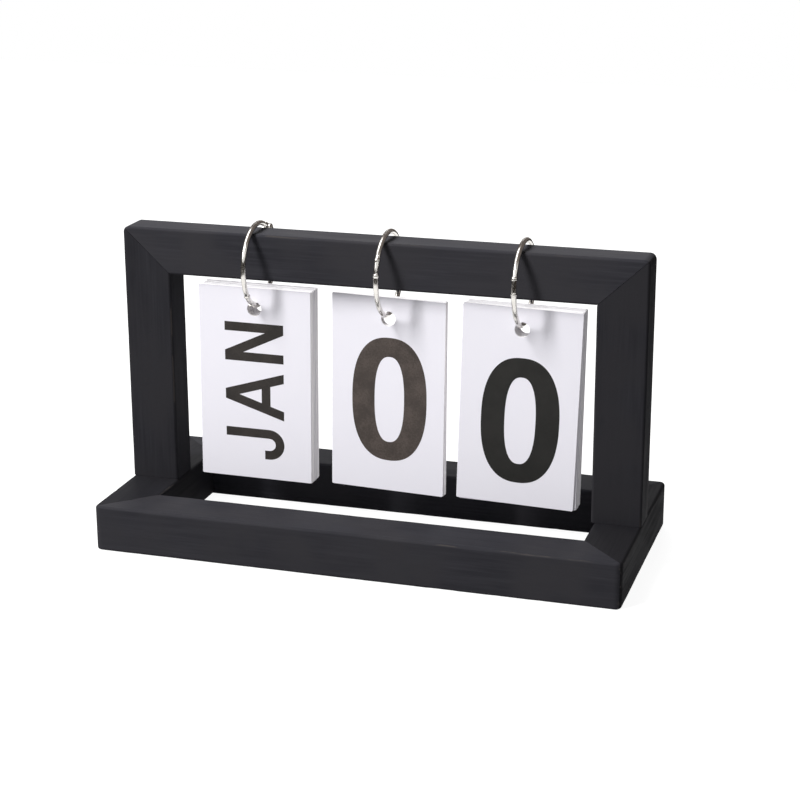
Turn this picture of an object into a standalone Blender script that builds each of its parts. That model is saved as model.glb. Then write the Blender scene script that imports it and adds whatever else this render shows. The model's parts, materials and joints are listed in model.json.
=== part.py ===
"""Desk flip calendar: an open mitred base, an upright frame and three book rings with stacks of cards.

The origin is the centre of the base's underside. +Z is up and the first cards face -Y.
"""
import math

import bmesh
import bpy
from mathutils import Matrix, Vector

# Base, an open frame of four mitred rails
base_width = 0.2200
base_depth = 0.0970
base_height = 0.0194
front_rail_width = 0.0210
back_rail_width = 0.0204
left_rail_width = 0.0210
right_rail_width = 0.0194

# Upright, two posts and a top rail, mitred together
upright_height = 0.1090
upright_thickness = 0.0150
upright_setback = 0.0397
post_width = 0.0206
top_rail_height = 0.0193

# Rounding of both frames of wood
wood_corner_radius = 0.0020
wood_edge_radius = 0.0009
wood_edge_steps = 3

# Screws that come up through the end rails into the posts
screw_length = 0.0340
screw_shank_radius = 0.0020
screw_tip_length = 0.0030
screw_head_radius = 0.0036
screw_head_height = 0.0026
screw_head_sink = 0.0005
recess_width = 0.0009
recess_span = 0.0040
recess_depth = 0.0014

# Book rings, each of two hinged half rings that lap at the latch
ring_outer_radius = 0.0180
wire_radius = 0.00105
ring_shift = 0.0028
latch_lap = 0.0050
knuckle_radius = 0.0021
knuckle_arm = 0.0038
tongue_thickness = 0.0011
fork_plate = 0.0009
rivet_radius = 0.0006
rivet_head_radius = 0.0013
rivet_head_height = 0.0004

# Cards, three stacks across the clear width between the posts
post_to_card_gap = 0.0091
stack_gap = 0.0074
card_height = 0.0826
card_thickness = 0.00045
card_corner_radius = 0.0015
hole_radius = 0.0031
hole_to_card_top = 0.0090

# Clearances
seam = 0.0003
overrun = 0.0020
weld_distance = 0.000001

# Counts of steps round a curve
wire_steps = 34
wire_side_level = 4
turned_steps = 24
knuckle_steps = 10
corner_steps = 3
mitre_steps = 2
hole_steps = 24

# Least angle, in degrees, between two faces that keeps an edge sharp
sharp_edge_angle = 40

# Each stack: its cards from front to back, where its ring's hinge stands (degrees from the rear, upwards),
# how far its front card and the others lean in their plane, how far the stack is turned, and the share of
# the hole's play that it hangs to the right
month_names = ["jan", "feb", "mar", "apr", "may", "jun", "jul", "aug", "sep", "oct", "nov", "dec"]
stacks = [
    {
        "name": "month", "cards": month_names, "hinge": 48,
        "front_lean": 0.6, "lean": 0.5, "turn": 0.8, "play_share": -0.35,
    },
    {
        "name": "tens", "cards": list("0123"), "hinge": -20,
        "front_lean": 0.8, "lean": 0.4, "turn": -2.0, "play_share": 0.15,
    },
    {
        "name": "units", "cards": list("0123456789"), "hinge": -8,
        "front_lean": 1.8, "lean": 0.9, "turn": 0.8, "play_share": 0.25,
    },
]

# Colour, metallic value and roughness of each kind of piece
looks = {
    "wood": ((0.030, 0.030, 0.034), 0.0, 0.62),
    "steel": ((0.560, 0.560, 0.540), 1.0, 0.35),
    "nickel": ((0.800, 0.780, 0.740), 1.0, 0.12),
    "card": ((0.860, 0.850, 0.900), 0.0, 0.55),
}

# Sizes and places that follow from the ones above
upright_y = -base_depth / 2 + upright_setback + upright_thickness / 2
upright_top = base_height + upright_height
clear_width = base_width - 2 * post_width
card_width = (clear_width - 2 * post_to_card_gap - (len(stacks) - 1) * stack_gap) / len(stacks)
ring_pitch = card_width + stack_gap
ring_radius = ring_outer_radius - wire_radius
rest_radius = ring_radius - wire_radius - seam - wood_edge_radius
ring_drop = wood_edge_radius + math.sqrt(rest_radius ** 2 - (upright_thickness / 2 - wood_edge_radius) ** 2)
ring_height = upright_top - ring_drop
card_pitch = card_thickness + seam
fork_width = tongue_thickness + 2 * (seam + fork_plate)
wire_start = knuckle_radius + 2 * seam
lap_angle = latch_lap / 2 / ring_radius


def make_collection(name):
    """Adds a collection to the scene."""
    collection = bpy.data.collections.new(name)
    bpy.context.scene.collection.children.link(collection)
    return collection


def paint(thing, look):
    """Gives an object a material of its own."""
    colour, metallic, roughness = looks[look]
    material = bpy.data.materials.new(thing.name)
    material.use_nodes = True
    shader = material.node_tree.nodes["Principled BSDF"]
    shader.inputs["Base Color"].default_value = (*colour, 1.0)
    shader.inputs["Metallic"].default_value = metallic
    shader.inputs["Roughness"].default_value = roughness
    thing.data.materials.clear()
    thing.data.materials.append(material)


def add_object(name, mesh, look, location, rotation, parent):
    """Adds a piece of the calendar."""
    piece = bpy.data.objects.new(name, mesh)
    calendar.objects.link(piece)
    piece.parent = parent
    piece.location = location
    piece.rotation_euler = rotation
    paint(piece, look)
    return piece


def add_empty(name, location, rotation=(0, 0, 0), parent=None):
    """Adds an empty that other pieces hang from."""
    empty = bpy.data.objects.new(name, None)
    calendar.objects.link(empty)
    empty.empty_display_size = base_height
    empty.location = location
    empty.rotation_euler = rotation
    empty.parent = parent
    return empty


def add_cutter(name, mesh, location=(0, 0, 0), rotation=(0, 0, 0)):
    """Adds a hidden shape that a Boolean takes away or joins on."""
    cutter = bpy.data.objects.new(name, mesh)
    cutters.objects.link(cutter)
    cutter.location = location
    cutter.rotation_euler = rotation
    cutter.hide_render = True
    cutter.display_type = "WIRE"
    return cutter


def combine(piece, other, operation):
    """Cuts another shape from a piece, or joins it on."""
    boolean = piece.modifiers.new(other.name, "BOOLEAN")
    boolean.operation = operation
    boolean.solver = "EXACT"
    boolean.object = other


def baked(thing):
    """Returns an object's evaluated mesh, welded, and removes the object."""
    bpy.context.view_layer.update()
    evaluated = thing.evaluated_get(bpy.context.evaluated_depsgraph_get())
    mesh = bpy.data.meshes.new_from_object(evaluated)
    mesh.name = thing.name
    solid = bmesh.new()
    solid.from_mesh(mesh)
    bmesh.ops.remove_doubles(solid, verts=solid.verts, dist=weld_distance)
    solid.to_mesh(mesh)
    solid.free()
    bpy.data.objects.remove(thing)
    return mesh


def smooth(mesh):
    """Shades a round piece smooth, with its sharp edges kept."""
    mesh.shade_smooth()
    mesh.set_sharp_from_angle(angle=math.radians(sharp_edge_angle))


def box_mesh(name, size, centre=(0, 0, 0)):
    """A box of a given size about a given centre."""
    mesh = bpy.data.meshes.new(name)
    solid = bmesh.new()
    bmesh.ops.create_cube(solid, size=1.0)
    bmesh.ops.scale(solid, vec=size, verts=solid.verts)
    bmesh.ops.translate(solid, vec=centre, verts=solid.verts)
    solid.to_mesh(mesh)
    solid.free()
    return mesh


def flat_mesh(name, outlines, thickness):
    """A flat plate from closed outlines in its own XY plane; later outlines are its holes."""
    curve = bpy.data.curves.new(name, "CURVE")
    curve.dimensions = "2D"
    curve.fill_mode = "BOTH"
    curve.extrude = thickness / 2
    for outline in outlines:
        spline = curve.splines.new("POLY")
        spline.points.add(len(outline) - 1)
        for point, (x, y) in zip(spline.points, outline):
            point.co = (x, y, 0, 1)
        spline.use_cyclic_u = True
    thing = bpy.data.objects.new(name, curve)
    cutters.objects.link(thing)
    mesh = baked(thing)
    bpy.data.curves.remove(curve)
    return mesh


def wire_mesh(name, start, end):
    """A stretch of ring wire round the X axis, between two angles from +Y towards +Z."""
    curve = bpy.data.curves.new(name, "CURVE")
    curve.dimensions = "3D"
    curve.bevel_depth = wire_radius
    curve.bevel_resolution = wire_side_level
    curve.use_fill_caps = True
    spline = curve.splines.new("POLY")
    spline.points.add(wire_steps)
    for step, point in enumerate(spline.points):
        angle = start + (end - start) * step / wire_steps
        point.co = (0, ring_radius * math.cos(angle), ring_radius * math.sin(angle), 1)
    thing = bpy.data.objects.new(name, curve)
    cutters.objects.link(thing)
    mesh = baked(thing)
    bpy.data.curves.remove(curve)
    return mesh


def turned(name, profile):
    """A turned solid about Z from (radius, height) points that run down its outer side."""
    mesh = bpy.data.meshes.new(name)
    solid = bmesh.new()
    points = [solid.verts.new((radius, 0, height)) for radius, height in profile]
    for above, below in zip(points, points[1:]):
        solid.edges.new((above, below))
    solid.to_mesh(mesh)
    solid.free()
    thing = add_cutter(name, mesh)
    screw = thing.modifiers.new("turn", "SCREW")
    screw.axis = "Z"
    screw.steps = turned_steps
    screw.render_steps = turned_steps
    screw.use_merge_vertices = True
    screw.merge_threshold = weld_distance
    result = baked(thing)
    smooth(result)
    return result


def round_outline(left, right, bottom, top, radius):
    """A rectangle with round corners, anticlockwise from its upper right one."""
    left, bottom = left + radius, bottom + radius
    right, top = right - radius, top - radius
    points = []
    for quarter, (x, y) in enumerate(((right, top), (left, top), (left, bottom), (right, bottom))):
        for step in range(corner_steps + 1):
            angle = (quarter + step / corner_steps) * math.pi / 2
            points.append((x + radius * math.cos(angle), y + radius * math.sin(angle)))
    return points


def side_end(corner, direction, inward):
    """The end of a frame's side, from its straight outer edge round to its inner edge.

    A mitred end takes half of the frame's round corner and stops half a seam short of the mitre.
    """
    outer, inner, mitred = corner
    if not mitred:
        return [outer, inner]
    centre = outer + (inward - direction) * wood_corner_radius
    mitre = centre + (direction - inward) * wood_corner_radius / math.sqrt(2) - inner
    turn = math.pi / 4 - seam / 2 / wood_corner_radius
    points = []
    for step in range(mitre_steps + 1):
        angle = turn * step / mitre_steps
        points.append(centre + (direction * math.sin(angle) - inward * math.cos(angle)) * wood_corner_radius)
    points.append(inner - direction * seam / 2 / abs(direction.cross(mitre.normalized())))
    return points


def side_mesh(name, outline, thickness):
    """A piece of wood from its outline, with its long edges marked for rounding and its cut ends left sharp.

    The outline starts and ends at the piece's inner edge, so its first and last stretches are the cuts.
    """
    mesh = flat_mesh(name, [outline], thickness)
    cuts = [(outline[0] + outline[1]) / 2, (outline[-1] + outline[-2]) / 2]
    solid = bmesh.new()
    solid.from_mesh(mesh)
    flat_angle = math.radians(sharp_edge_angle / turned_steps)
    bmesh.ops.dissolve_limit(solid, angle_limit=flat_angle, verts=solid.verts, edges=solid.edges)
    weight = solid.edges.layers.float.new("bevel_weight_edge")
    for edge in solid.edges:
        first, second = (corner.co for corner in edge.verts)
        level = math.isclose(first.z, second.z, abs_tol=weld_distance)
        middle = ((first + second) / 2).xy
        at_cut = min((middle - cut).length for cut in cuts) < seam
        edge[weight] = float(level and not at_cut)
    solid.to_mesh(mesh)
    solid.free()
    return mesh


def build_frame(corners, names, thickness, location, rotation):
    """Pieces of wood between corners, anticlockwise in the frame's own XY plane.

    A corner is its outer point, its inner point and whether it is mitred.
    """
    corners = [(Vector(outer), Vector(inner), mitred) for outer, inner, mitred in corners]
    made = {}
    for name, start, end in zip(names, corners, corners[1:]):
        along = (end[0] - start[0]).normalized()
        inward = Vector((-along.y, along.x))
        outline = side_end(start, -along, inward)[::-1] + side_end(end, along, inward)
        piece = add_object(name, side_mesh(name, outline, thickness), "wood", location, rotation, root)
        bevel = piece.modifiers.new("worn edges", "BEVEL")
        bevel.limit_method = "WEIGHT"
        bevel.width = wood_edge_radius
        bevel.segments = wood_edge_steps
        made[name] = piece
    return made


def build_base():
    """The base's four rails, mitred at its corners."""
    left, right = -base_width / 2, base_width / 2
    front, back = -base_depth / 2, base_depth / 2
    inner_left, inner_right = left + left_rail_width, right - right_rail_width
    inner_front, inner_back = front + front_rail_width, back - back_rail_width
    corners = [
        ((left, front), (inner_left, inner_front), True),
        ((right, front), (inner_right, inner_front), True),
        ((right, back), (inner_right, inner_back), True),
        ((left, back), (inner_left, inner_back), True),
    ]
    names = ["base_front_rail", "base_right_rail", "base_back_rail", "base_left_rail"]
    return build_frame(corners + corners[:1], names, base_height, (0, 0, base_height / 2), (0, 0, 0))


def build_upright():
    """The right post, the top rail and the left post, mitred at the upper corners, their feet on the base."""
    left, right = -base_width / 2, base_width / 2
    inner_left, inner_right = left + post_width, right - post_width
    under = upright_top - top_rail_height
    foot = base_height + seam
    corners = [
        ((right, foot), (inner_right, foot), False),
        ((right, upright_top), (inner_right, under), True),
        ((left, upright_top), (inner_left, under), True),
        ((left, foot), (inner_left, foot), False),
    ]
    names = ["right_post", "top_rail", "left_post"]
    return build_frame(corners, names, upright_thickness, (0, upright_y, 0), (math.pi / 2, 0, 0))


def build_screws(wood):
    """A countersunk screw up through each end rail into its post, with its recess and its hole."""
    profile = [
        (0, screw_head_sink + screw_length),
        (screw_shank_radius, screw_head_sink + screw_length - screw_tip_length),
        (screw_shank_radius, screw_head_sink + screw_head_height),
        (screw_head_radius, screw_head_sink),
        (0, screw_head_sink),
    ]
    bore = [(radius + seam, height) for radius, height in profile]
    bore[0] = (0, profile[0][1] + seam)
    bore[-1] = (screw_head_radius + seam, -overrun)
    bore.append((0, -overrun))
    for side, sign in (("left", -1), ("right", 1)):
        place = (sign * (base_width - post_width) / 2, upright_y, 0)
        screw = add_object(f"{side}_post_screw", turned("screw", profile), "steel", place, (0, 0, 0), root)
        hole = add_cutter(f"{side}_screw_hole", turned("screw hole", bore), place)
        combine(wood[f"base_{side}_rail"], hole, "DIFFERENCE")
        combine(wood[f"{side}_post"], hole, "DIFFERENCE")
        for arm, size in enumerate(((recess_span, recess_width), (recess_width, recess_span))):
            slot = box_mesh("recess", (*size, 2 * recess_depth), (0, 0, screw_head_sink))
            combine(screw, add_cutter(f"{side}_recess_{arm + 1}", slot, place), "DIFFERENCE")


def knuckle_mesh(name, thickness, direction):
    """A round knuckle with an arm that narrows to the wire, in the YZ plane about the ring's hinge."""
    outline = []
    for step in range(knuckle_steps + 1):
        angle = math.pi * step / knuckle_steps
        outline.append((knuckle_radius * math.cos(angle), -direction * knuckle_radius * math.sin(angle)))
    outline.append((-wire_radius, direction * knuckle_arm))
    outline.append((wire_radius, direction * knuckle_arm))
    mesh = flat_mesh(name, [outline], thickness)
    mesh.transform(Matrix.Rotation(math.pi / 2, 4, "Z") @ Matrix.Rotation(math.pi / 2, 4, "X"))
    return mesh


def cylinder_mesh(name, radius, length):
    """A cylinder about X."""
    mesh = bpy.data.meshes.new(name)
    solid = bmesh.new()
    bmesh.ops.create_cone(
        solid, cap_ends=True, segments=turned_steps, radius1=radius, radius2=radius, depth=length,
        matrix=Matrix.Rotation(math.pi / 2, 4, "Y"),
    )
    solid.to_mesh(mesh)
    solid.free()
    return mesh


def half_ring_mesh(name, side):
    """A half ring about X, its hinge at +Y: side 1 opens and has the tongue, side -1 has the fork."""
    start = wire_start / ring_radius
    end = math.pi + lap_angle
    half = add_cutter(name, wire_mesh("wire", side * start, side * end))
    hinge = (0, ring_radius, 0)
    width = tongue_thickness if side > 0 else fork_width
    combine(half, add_cutter("knuckle", knuckle_mesh("knuckle", width, side), hinge), "UNION")
    if side < 0:
        slot = cylinder_mesh("fork slot", knuckle_radius + seam, tongue_thickness + 2 * seam)
        combine(half, add_cutter("fork slot", slot, hinge), "DIFFERENCE")
    bore = cylinder_mesh("rivet hole", rivet_radius + seam, fork_width + 2 * overrun)
    combine(half, add_cutter("rivet hole", bore, hinge), "DIFFERENCE")
    lap_length = latch_lap + seam + overrun
    lap_size = (wire_radius + overrun, 2 * (wire_radius + overrun), lap_length)
    lap_centre = (
        side * (lap_size[0] - seam) / 2,
        -ring_radius,
        side * (latch_lap / 2 + seam - lap_length / 2),
    )
    combine(half, add_cutter("latch lap", box_mesh("latch lap", lap_size, lap_centre)), "DIFFERENCE")
    mesh = baked(half)
    if side > 0:
        mesh.transform(Matrix.Translation((0, -ring_radius, 0)))
    smooth(mesh)
    return mesh


def rivet_mesh():
    """The hinge's rivet about X, with a low dome on each end."""
    inner = fork_width / 2 + seam
    outer = inner + rivet_head_height
    rim = inner + rivet_head_height / 2
    half = [
        (rivet_head_radius / 2, outer),
        (rivet_head_radius, rim),
        (rivet_head_radius, inner),
        (rivet_radius, inner),
    ]
    profile = [(0, outer)] + half + [(radius, -height) for radius, height in reversed(half)] + [(0, -outer)]
    mesh = turned("rivet", profile)
    mesh.transform(Matrix.Rotation(math.pi / 2, 4, "Y"))
    return mesh


def build_rings():
    """Three rings, each on an empty at its centre that is turned to where its hinge stands."""
    fixed_half = half_ring_mesh("fixed half ring", -1)
    opening_half = half_ring_mesh("opening half ring", 1)
    rivet = rivet_mesh()
    hinge = (0, ring_radius, 0)
    for place, stack in enumerate(stacks):
        name = stack["name"]
        x = ring_shift + (place - (len(stacks) - 1) / 2) * ring_pitch
        hinge_turn = (math.radians(stack["hinge"]), 0, 0)
        axis = add_empty(f"{name}_ring_axis", (x, upright_y, ring_height), hinge_turn, root)
        add_object(f"{name}_ring_fixed_half", fixed_half.copy(), "nickel", (0, 0, 0), (0, 0, 0), axis)
        add_object(f"{name}_ring_opening_half", opening_half.copy(), "nickel", hinge, (0, 0, 0), axis)
        add_object(f"{name}_ring_rivet", rivet.copy(), "nickel", hinge, (0, 0, 0), axis)


def card_mesh():
    """A card with small round corners, in its own XY plane, with its ring hole at the origin."""
    top = hole_to_card_top
    outline = round_outline(-card_width / 2, card_width / 2, top - card_height, top, card_corner_radius)
    hole = []
    for step in range(hole_steps):
        angle = -2 * math.pi * step / hole_steps
        hole.append((hole_radius * math.cos(angle), hole_radius * math.sin(angle)))
    return flat_mesh("card", [outline, hole], card_thickness)


def hole_place(depth, play_share):
    """Where a card's hole hangs on the wire, from the ring's centre, for a card at a given depth."""
    wire_height = -math.sqrt(ring_radius ** 2 - depth ** 2)
    slope = -depth / wire_height
    wire_in_card = wire_radius * math.hypot(1, slope) + abs(slope) * card_thickness / 2
    play = hole_radius - seam - wire_in_card
    aside = play_share * play
    return Vector((aside, depth, wire_height - math.sqrt(play ** 2 - aside ** 2)))


def build_cards():
    """Three stacks of cards, each card upright on its ring's wire, hung from an empty on the ring's axis."""
    shape = card_mesh()
    for place, stack in enumerate(stacks):
        x = ring_shift + (place - (len(stacks) - 1) / 2) * ring_pitch
        axis = add_empty(f"{stack['name']}_cards_axis", (x, upright_y, ring_height), parent=root)
        for number, label in enumerate(stack["cards"]):
            depth = (number - (len(stack["cards"]) - 1) / 2) * card_pitch
            lean = stack["lean"] if number else stack["front_lean"]
            rotation = (math.pi / 2, math.radians(lean), math.radians(stack["turn"]))
            hole = hole_place(depth, stack["play_share"])
            add_object(f"{stack['name']}_card_{label}", shape.copy(), "card", hole, rotation, axis)


for old in list(bpy.data.objects):
    bpy.data.objects.remove(old)

calendar = make_collection("desk_flip_calendar")
cutters = make_collection("cutters")
root = add_empty("calendar", (0, 0, 0))

build_screws({**build_base(), **build_upright()})
build_rings()
build_cards()
bpy.context.view_layer.update()
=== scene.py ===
"""Looks of the desk flip calendar: black wood, nickel book rings and printed cards, on a white studio floor.

Everything is in metres and drawn where the frame has its nodes: +Z is up and the first cards face -Y.
"""
import json
import math
import random

import bmesh
import bpy
from mathutils import Euler, Matrix, Vector, noise


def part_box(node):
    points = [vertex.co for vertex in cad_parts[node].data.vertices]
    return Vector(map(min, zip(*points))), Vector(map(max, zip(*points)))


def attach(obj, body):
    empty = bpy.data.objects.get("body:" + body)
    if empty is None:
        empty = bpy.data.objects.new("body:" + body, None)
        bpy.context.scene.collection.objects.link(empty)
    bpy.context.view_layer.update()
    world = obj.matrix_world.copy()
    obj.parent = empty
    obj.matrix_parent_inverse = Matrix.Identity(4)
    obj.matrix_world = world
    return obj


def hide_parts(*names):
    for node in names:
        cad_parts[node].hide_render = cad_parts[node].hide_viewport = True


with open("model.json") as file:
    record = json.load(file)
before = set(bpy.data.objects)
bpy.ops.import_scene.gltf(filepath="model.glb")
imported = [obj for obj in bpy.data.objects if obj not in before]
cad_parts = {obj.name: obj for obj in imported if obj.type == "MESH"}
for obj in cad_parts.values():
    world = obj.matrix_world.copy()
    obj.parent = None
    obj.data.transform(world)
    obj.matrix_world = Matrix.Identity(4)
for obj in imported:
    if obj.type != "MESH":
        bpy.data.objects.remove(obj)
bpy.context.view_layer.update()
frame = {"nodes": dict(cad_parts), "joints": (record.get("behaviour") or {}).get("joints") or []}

# Wood
wood_corner_radius = 0.0026
wood_edge_radius = 0.0012
wood_edge_steps = 4
mitre_steps = 4
mitre_gap = 0.00004
foot_gap = 0.00004
wood_cut_spacing = 0.0022
wood_waviness = 0.00012
wood_wave_length = 0.0090
wood_dent_depth = 0.00030
wood_dent_length = 0.0050
wood_dent_threshold = 0.35
flat_face_wear = 0.3
stain_tints = ((0.0200, 0.0198, 0.0240), (0.0315, 0.0311, 0.0366), (0.0282, 0.0274, 0.0312))
worn_colour = (0.052, 0.047, 0.046)
wood_specular = 0.03

# How dark each piece of wood is drawn, as a share of the usual colour. This is painted sheen and shade:
# the end rails and the posts are darker, the front and top rails lighter
sheen_and_shade_shares = {
    "base_front_rail": 1.14, "base_right_rail": 0.55, "base_back_rail": 0.95, "base_left_rail": 0.58,
    "right_post": 0.90, "top_rail": 1.26, "left_post": 0.92,
}

# Screws' holes in the wood
screw_head_radius = 0.0036
screw_head_height = 0.0026
screw_head_sink = 0.0005
screw_hole_play = 0.0003

# Book rings
ring_radius = 0.01695
wire_radius = 0.00105
latch_lap = 0.0050
latch_play = 0.00012
bead_radius = 0.00128
bead_setback = 0.0005
knuckle_radius = 0.0021
knuckle_arm = 0.0038
knuckle_rounding = 0.00018
tongue_thickness = 0.0011
fork_plate = 0.0009
hinge_play = 0.0003
rivet_radius = 0.0006
rivet_head_radius = 0.0013
rivet_head_height = 0.0004
nickel = {"colour": (0.80, 0.775, 0.735), "roughness": 0.16, "scratches": 0.05}
zinc = {"colour": (0.56, 0.56, 0.54), "roughness": 0.30, "scratches": 0.20}

# Cards
card_width = 0.0486
card_height = 0.0826
card_corner_radius = 0.0006
cad_card_thickness = 0.00045
card_pitch = 0.00075
card_thickness = 0.00070
card_edge_rounding = 0.00005
card_side_scatter = 0.00025
card_drop_scatter = 0.00010
face_tints = ((0.845, 0.830, 0.905), (0.880, 0.868, 0.935))
core_tints = ((0.62, 0.60, 0.61), (0.82, 0.80, 0.81))
# Painted light: the cards' cut edges glow, the upper ones in the rail's shade most, the hole's bore least
painted_glow_colour = (1.0, 0.98, 1.0, 1.0)
card_roughness = 0.55
card_specular = 0.30
cut_glow = 0.22
top_cut_glow = 0.78
bore_glow_share = 0.05
hole_radius = 0.0031
hole_to_card_top = 0.0090
hole_play = 0.0003

# Prints, whose places are measured from a card's hole
ink_lift = 0.000004
ink_thickness = 0.000025
letter_height = 0.0257
letter_stroke = 0.150
letter_space = 0.0043
letter_roundness = 2.1
digit_height = 0.0526
digit_width = 0.612
digit_stroke = 0.172
zero_inner_width = 0.243
zero_inner_height = 0.694
zero_outer_roundness = 2.42
zero_inner_roundness = 2.45

# Counts of steps round a curve, the distance at which points are one, how far a cutter reaches past what it
# cuts, and in degrees the angles from which an edge is sharp and up to which two faces are one
wire_steps = 120
wire_side_level = 6
knuckle_steps = 20
rounding_steps = 2
dome_steps = 8
bead_steps = (24, 16)
turned_steps = 48
corner_steps = 6
hole_steps = 56
arc_steps = 28
weld_distance = 0.000001
past = 0.0020
sharp_edge_angle = 40
flat_angle = 0.5

# Where each kind of piece starts in its noise, and the seed of the cards' scatter
base_seed = 11.0
upright_seed = 23.0
ring_seed = 40.0
screw_seed = 60.0
ink_seed = 70.0
card_seed = 80.0
scatter_seed = 7

# Each stack from left to right, with its ring's hinge (degrees from the rear, upwards), how far its cards lean
# and turn in degrees, the share of the hole's play that it hangs to the right, its ink's colour and where its
# print's middle is. The tens' ink is drawn lighter than the others: a painted glare on their print
month_names = ["jan", "feb", "mar", "apr", "may", "jun", "jul", "aug", "sep", "oct", "nov", "dec"]
stacks = [
    {
        "name": "month", "cards": month_names, "hinge": 48, "front_lean": 0.6, "lean": 0.5, "turn": 0.8,
        "play_share": -0.35, "ink": (0.026, 0.022, 0.020), "print_centre": (-0.00035, -0.0355),
    },
    {
        # Lighter ink here: painted glare on the tens' print
        "name": "tens", "cards": list("0123"), "hinge": -20, "front_lean": 0.8, "lean": 0.4, "turn": -2.0,
        "play_share": 0.15, "ink": (0.064, 0.051, 0.045), "print_centre": (0.0007, -0.0342),
    },
    {
        "name": "units", "cards": list("0123456789"), "hinge": -8, "front_lean": 1.8, "lean": 0.9, "turn": 0.8,
        "play_share": 0.25, "ink": (0.0110, 0.0105, 0.0095), "print_centre": (0.0008, -0.0379),
    },
]

# Camera
camera_place = (0.234246, -0.734607, 0.302288)
camera_turn = (72.5732, 0.1741, 17.1332)
camera_lens = 88.4
camera_sensor = 36
camera_nearest = 0.01

# Studio: where each lamp stands, what it aims at, its size, its power in watts and its colour
studio_centre = (0, 0, 0.09)
lamps = {
    "key": ((-1.202, -1.433, 1.896), (0.42, 1.50), 92.0, (1.0, 0.995, 0.985)),
    "top": ((-0.45, 0.05, 0.98), (0.70, 0.70), 5.0, (1.0, 1.0, 1.0)),
    "back": ((-0.60, 2.00, 1.25), (1.20, 1.00), 32.0, (1.0, 1.0, 1.0)),
}
surround_light = 0.15
floor_glow = 0.93
floor_colour = 0.22
bounce_colour = 0.32
floor_size = 2.6

# Flags: dark sheets round the object that only gloss sees, which draw the dark stretches on the rings. Each has
# the range of its bearing (degrees from the front, to the right), that of its height (degrees) and its colour
flag_distance = 1.28
flag_steps = 24
flags = {
    "front_flag": ((-115, 95), (-4, 16), (0.035, 0.030, 0.026)),
    "left_flag": ((-180, -115), (-4, 57), (0.150, 0.130, 0.120)),
    "right_flag": ((95, 180), (-4, 57), (0.150, 0.130, 0.120)),
    "upper_left_flag": ((-115, -75), (36, 57), (0.200, 0.180, 0.165)),
    "upper_right_flag": ((45, 95), (36, 57), (0.200, 0.180, 0.165)),
    "upper_flag": ((-180, 180), (57, 90), (0.260, 0.225, 0.210)),
}
floor_flag_inner = 0.40
floor_flag_colour = (0.035, 0.030, 0.026)


def ring_centre(stack):
    """The centre of a stack's ring, from the joint that turns it."""
    name = f"{stack['name']}_ring_turn"
    return Vector(next(joint["pos_m"] for joint in frame["joints"] if joint["name"] == name))


def add_piece(name, mesh, material, body, slot, *nodes):
    """Adds a piece that stands for CAD nodes and moves with a body."""
    piece = bpy.data.objects.new(name, mesh)
    bpy.context.scene.collection.objects.link(piece)
    mesh.materials.clear()
    mesh.materials.append(material)
    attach(piece, body)
    if nodes:
        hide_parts(*nodes)
    return piece


def scratch(name, data):
    """A passing object that a mesh is worked out on."""
    thing = bpy.data.objects.new(name, data)
    bpy.context.scene.collection.objects.link(thing)
    return thing


def baked(thing):
    """An object's evaluated mesh, welded; the object goes."""
    bpy.context.view_layer.update()
    evaluated = thing.evaluated_get(bpy.context.evaluated_depsgraph_get())
    mesh = bpy.data.meshes.new_from_object(evaluated)
    bpy.data.objects.remove(thing)
    solid = bmesh.new()
    solid.from_mesh(mesh)
    bmesh.ops.remove_doubles(solid, verts=solid.verts, dist=weld_distance)
    solid.to_mesh(mesh)
    solid.free()
    return mesh


def joined(mesh, others, operation):
    """A mesh cut by others, or joined to them, one after the other."""
    thing = scratch("joined", mesh)
    tools = [scratch("tool", other) for other in others]
    for tool in tools:
        boolean = thing.modifiers.new("boolean", "BOOLEAN")
        boolean.operation = operation
        boolean.solver = "EXACT"
        boolean.object = tool
    result = baked(thing)
    for tool in tools:
        bpy.data.objects.remove(tool)
    return result


def bevelled(mesh, width, steps):
    """A mesh with its sharp edges rounded."""
    thing = scratch("bevelled", mesh)
    bevel = thing.modifiers.new("bevel", "BEVEL")
    bevel.width = width
    bevel.segments = steps
    bevel.angle_limit = math.radians(sharp_edge_angle)
    return baked(thing)


def smooth(mesh):
    """Shades a mesh smooth, with its sharp edges kept."""
    mesh.shade_smooth()
    mesh.set_sharp_from_angle(angle=math.radians(sharp_edge_angle))
    return mesh


def shade_evenly(piece):
    """Keeps the shading of big flat faces flat beside their narrow rounded edges."""
    weighted = piece.modifiers.new("even shading", "WEIGHTED_NORMAL")
    weighted.keep_sharp = True


def flat_mesh(outlines, thickness):
    """A flat plate from closed outlines in its own XY plane; later outlines are its holes."""
    curve = bpy.data.curves.new("outline", "CURVE")
    curve.dimensions = "2D"
    curve.fill_mode = "BOTH"
    curve.extrude = thickness / 2
    for outline in outlines:
        spline = curve.splines.new("POLY")
        spline.points.add(len(outline) - 1)
        for point, (x, y) in zip(spline.points, outline):
            point.co = (x, y, 0, 1)
        spline.use_cyclic_u = True
    mesh = baked(scratch("outline", curve))
    solid = bmesh.new()
    solid.from_mesh(mesh)
    bmesh.ops.dissolve_limit(solid, angle_limit=math.radians(flat_angle), verts=solid.verts, edges=solid.edges)
    solid.to_mesh(mesh)
    solid.free()
    return mesh


def box_mesh(size, centre=(0, 0, 0)):
    """A box of a given size about a given centre."""
    mesh = bpy.data.meshes.new("box")
    solid = bmesh.new()
    bmesh.ops.create_cube(solid, size=1.0)
    bmesh.ops.scale(solid, vec=size, verts=solid.verts)
    bmesh.ops.translate(solid, vec=centre, verts=solid.verts)
    solid.to_mesh(mesh)
    solid.free()
    return mesh


def cone_mesh(low_radius, high_radius, length, matrix):
    """A cylinder or cone about Z, then placed by a matrix."""
    mesh = bpy.data.meshes.new("cone")
    solid = bmesh.new()
    bmesh.ops.create_cone(
        solid, cap_ends=True, segments=turned_steps, radius1=low_radius, radius2=high_radius, depth=length,
        matrix=matrix,
    )
    solid.to_mesh(mesh)
    solid.free()
    return mesh


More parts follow.
